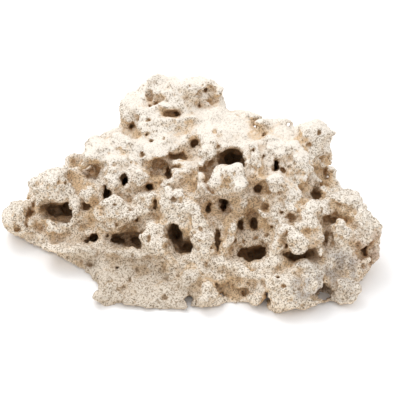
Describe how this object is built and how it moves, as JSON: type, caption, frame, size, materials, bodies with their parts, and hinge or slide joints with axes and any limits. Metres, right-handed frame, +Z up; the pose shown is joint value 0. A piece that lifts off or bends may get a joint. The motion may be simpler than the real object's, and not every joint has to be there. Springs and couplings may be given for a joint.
{
  "type": "coral rock",
  "caption": "Loose piece of old reef limestone, riddled with holes, that lies on its flat broken underside and rises to a crown at the back.",
  "frame": {"origin": "middle of the rock's length and width, on the plane it rests on", "axes": "+X along its length to the right, +Y to its back, +Z up"},
  "size_m": [0.2718, 0.1972, 0.0959],
  "materials": {
    "limestone": "dry, rough and porous, cream on its raised faces and brown in its holes"
  },
  "bodies": {
    "root": {"coral_rock": "limestone"}
  },
  "joints": []
}
